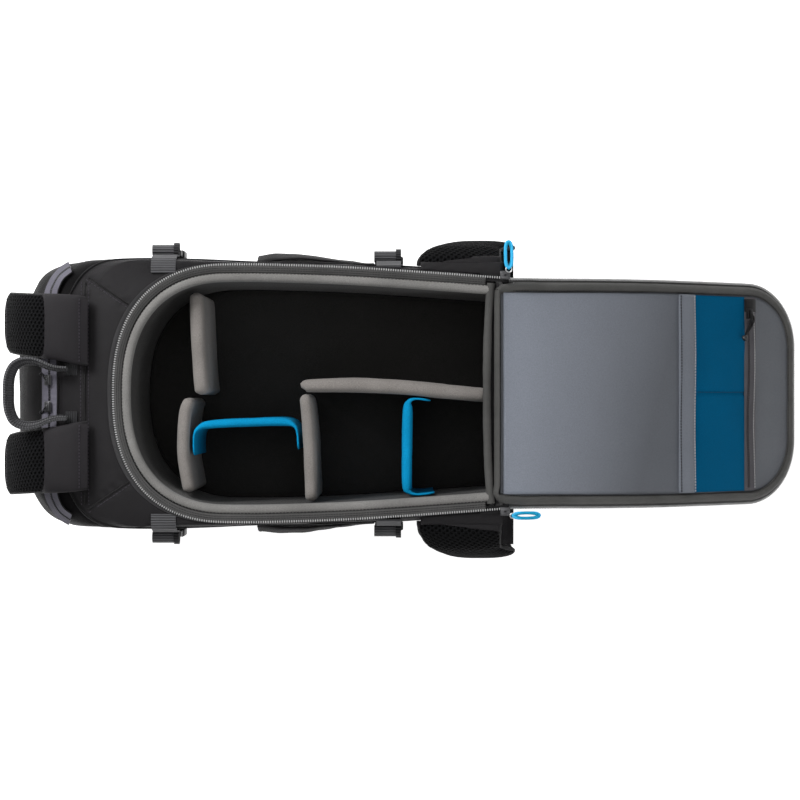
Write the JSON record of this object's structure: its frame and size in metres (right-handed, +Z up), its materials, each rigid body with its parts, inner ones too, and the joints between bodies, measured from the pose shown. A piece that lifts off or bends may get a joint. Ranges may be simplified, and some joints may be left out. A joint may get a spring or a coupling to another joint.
{
  "type": "camera backpack",
  "caption": "Rear-access camera backpack on its front, back lid open: padded bays with movable dividers, shoulder straps, hip belt, handle, zips and side pockets.",
  "frame": {"origin": "on the flat front face that the bag lies on, halfway along the bag and across it", "axes": "+X from the shoulder-strap end to the lid's hinge, +Y the bag's left as it lies, +Z up out of the opening"},
  "size_m": [0.8192, 0.3172, 0.218],
  "materials": {
    "shell_fabric": "tight charcoal nylon weave",
    "mesh_pad": "black hexagonal spacer mesh over foam",
    "lining": "brushed warm grey loop lining",
    "lid_lining": "slate grey nylon lining",
    "pocket_film": "translucent slate grey satin",
    "accent_blue": "brushed blue lining",
    "binding": "grey folded binding tape",
    "zip_tape": "dark grey woven zip tape with coil teeth",
    "webbing": "ribbed grey webbing",
    "buckle_plastic": "moulded black acetal",
    "zip_metal": "grey plated zinc",
    "cord_blue": "braided sky-blue cord",
    "cord_black": "braided black cord with a moulded end",
    "stiffener": "sheet plastic"
  },
  "bodies": {
    "bag": {"front_pocket": "shell_fabric", "front_panel": "shell_fabric", "top_compartment": "shell_fabric", "side_panel_left": "shell_fabric", "side_panel_right": "shell_fabric", "base_panel": "shell_fabric", "rear_panel": "shell_fabric", "liner_floor": "lining", "liner_side_left": "lining", "liner_side_right": "lining", "liner_top_wall": "lining", "liner_base_wall": "lining", "rim_zip_tape": "zip_tape", "rim_binding": "binding", "side_pocket_left": "shell_fabric", "side_pocket_right": "shell_fabric", "top_zip_tape": "zip_tape", "socket_upper_left": "buckle_plastic", "socket_upper_right": "buckle_plastic", "socket_lower_left": "buckle_plastic", "socket_lower_right": "buckle_plastic"},
    "lid": {"lid_lining": "lid_lining", "lid_stiffener": "stiffener", "lid_cover": "shell_fabric", "lid_binding": "binding", "lid_zip_tape": "zip_tape", "lid_film_pocket": "pocket_film", "lid_blue_pocket": "accent_blue", "lid_pocket_zip": "zip_tape", "lumbar_pad": "mesh_pad", "back_pad_left": "mesh_pad", "back_pad_right": "mesh_pad"},
    "lid_slider": {"lid_zip_slider": "zip_metal"},
    "lid_pull": {"lid_zip_pull": "cord_black"},
    "main_slider_left_body": {"main_slider_left": "zip_metal"},
    "main_pull_left_body": {"main_pull_left": "cord_blue"},
    "main_slider_right_body": {"main_slider_right": "zip_metal"},
    "main_pull_right_body": {"main_pull_right": "cord_blue"},
    "top_slider_left_body": {"top_slider_left": "zip_metal"},
    "top_slider_right_body": {"top_slider_right": "zip_metal"},
    "front_slider": {"front_zip_slider": "zip_metal"},
    "shoulder_strap_left": {"shoulder_pad_left": "mesh_pad", "strap_adjuster_left": "webbing"},
    "shoulder_strap_right": {"shoulder_pad_right": "mesh_pad", "strap_adjuster_right": "webbing"},
    "handle": {"grab_handle": "webbing"},
    "hip_belt_left": {"hip_wing_left": "mesh_pad", "hip_belt_end_left": "webbing"},
    "hip_belt_right": {"hip_wing_right": "mesh_pad", "hip_belt_end_right": "webbing"},
    "plug_upper_left_body": {"plug_upper_left": "webbing"},
    "plug_upper_right_body": {"plug_upper_right": "webbing"},
    "plug_lower_left_body": {"plug_lower_left": "webbing"},
    "plug_lower_right_body": {"plug_lower_right": "webbing"},
    "divider_top_left_body": {"divider_top_left": "lining"},
    "divider_top_right_body": {"divider_top_right": "lining"},
    "divider_blue_bracket_body": {"divider_blue_bracket": "accent_blue"},
    "divider_middle_body": {"divider_middle": "lining"},
    "divider_lens_grey_body": {"divider_lens_grey": "lining"},
    "divider_lens_blue_body": {"divider_lens_blue": "accent_blue"}
  },
  "joints": [
    {"name": "lid_open", "type": "hinge", "parent": "bag", "child": "lid", "pos_m": [0.229, 0, 0.2155], "axis": [0, 1, 0], "range_deg": [-212.2, 0]},
    {"name": "lid_slider_slide", "type": "slide", "parent": "lid", "child": "lid_slider", "axis": [0, 1, 0], "range_m": [-0.13, 0]},
    {"name": "lid_pull_flip", "type": "hinge", "parent": "lid_slider", "child": "lid_pull", "pos_m": [0.50546, 0.083, 0.04837], "axis": [-0.8462, 0, 0.5329], "range_deg": [0, 100]},
    {"name": "main_slider_left_slide", "type": "slide", "parent": "bag", "child": "main_slider_left_body", "axis": [-0.9977, 0.0679, 0], "range_m": [0, 0.13]},
    {"name": "main_pull_left_flip", "type": "hinge", "parent": "main_slider_left_body", "child": "main_pull_left_body", "pos_m": [0.2415, 0.1198, 0.2155], "axis": [1, 0, 0], "range_deg": [0, 110]},
    {"name": "main_slider_right_slide", "type": "slide", "parent": "bag", "child": "main_slider_right_body", "axis": [-0.9977, -0.0679, 0], "range_m": [0, 0.13]},
    {"name": "main_pull_right_flip", "type": "hinge", "parent": "main_slider_right_body", "child": "main_pull_right_body", "pos_m": [0.2438, -0.1186, 0.2155], "axis": [0, -1, 0], "range_deg": [0, 110]},
    {"name": "top_slider_left_slide", "type": "slide", "parent": "bag", "child": "top_slider_left_body", "axis": [0, 1, 0], "range_m": [0, 0.05]},
    {"name": "top_slider_right_slide", "type": "slide", "parent": "bag", "child": "top_slider_right_body", "axis": [0, -1, 0], "range_m": [0, 0.05]},
    {"name": "front_slider_slide", "type": "slide", "parent": "bag", "child": "front_slider", "axis": [-1, 0, 0], "range_m": [-0.04, 0]},
    {"name": "shoulder_strap_left_lift", "type": "hinge", "parent": "bag", "child": "shoulder_strap_left", "pos_m": [-0.166, 0, 0.209], "axis": [0, 1, 0], "range_deg": [0, 100]},
    {"name": "shoulder_strap_right_lift", "type": "hinge", "parent": "bag", "child": "shoulder_strap_right", "pos_m": [-0.166, 0, 0.209], "axis": [0, 1, 0], "range_deg": [0, 100]},
    {"name": "handle_lift", "type": "hinge", "parent": "bag", "child": "handle", "pos_m": [-0.188, 0, 0.2035], "axis": [0, 1, 0], "range_deg": [0, 75]},
    {"name": "hip_belt_left_lift", "type": "hinge", "parent": "bag", "child": "hip_belt_left", "pos_m": [0.19, 0.1235, 0.203], "axis": [1, 0, 0], "range_deg": [0, 100]},
    {"name": "hip_belt_right_lift", "type": "hinge", "parent": "bag", "child": "hip_belt_right", "pos_m": [0.19, -0.1235, 0.203], "axis": [-1, 0, 0], "range_deg": [0, 100]},
    {"name": "plug_upper_left_release", "type": "slide", "parent": "bag", "child": "plug_upper_left_body", "axis": [0, 0, 1], "range_m": [0, 0.03]},
    {"name": "plug_upper_right_release", "type": "slide", "parent": "bag", "child": "plug_upper_right_body", "axis": [0, 0, 1], "range_m": [0, 0.03]},
    {"name": "plug_lower_left_release", "type": "slide", "parent": "bag", "child": "plug_lower_left_body", "axis": [0, 0, 1], "range_m": [0, 0.03]},
    {"name": "plug_lower_right_release", "type": "slide", "parent": "bag", "child": "plug_lower_right_body", "axis": [0, 0, 1], "range_m": [0, 0.03]},
    {"name": "divider_top_left_lift", "type": "slide", "parent": "bag", "child": "divider_top_left_body", "axis": [0, 0, 1], "range_m": [0, 0.15]},
    {"name": "divider_top_right_lift", "type": "slide", "parent": "bag", "child": "divider_top_right_body", "axis": [0, 0, 1], "range_m": [0, 0.15]},
    {"name": "divider_blue_bracket_lift", "type": "slide", "parent": "bag", "child": "divider_blue_bracket_body", "axis": [0, 0, 1], "range_m": [0, 0.15]},
    {"name": "divider_middle_lift", "type": "slide", "parent": "bag", "child": "divider_middle_body", "axis": [0, 0, 1], "range_m": [0, 0.15]},
    {"name": "divider_lens_grey_lift", "type": "slide", "parent": "bag", "child": "divider_lens_grey_body", "axis": [0, 0, 1], "range_m": [0, 0.15]},
    {"name": "divider_lens_blue_lift", "type": "slide", "parent": "bag", "child": "divider_lens_blue_body", "axis": [0, 0, 1], "range_m": [0, 0.15]}
  ]
}
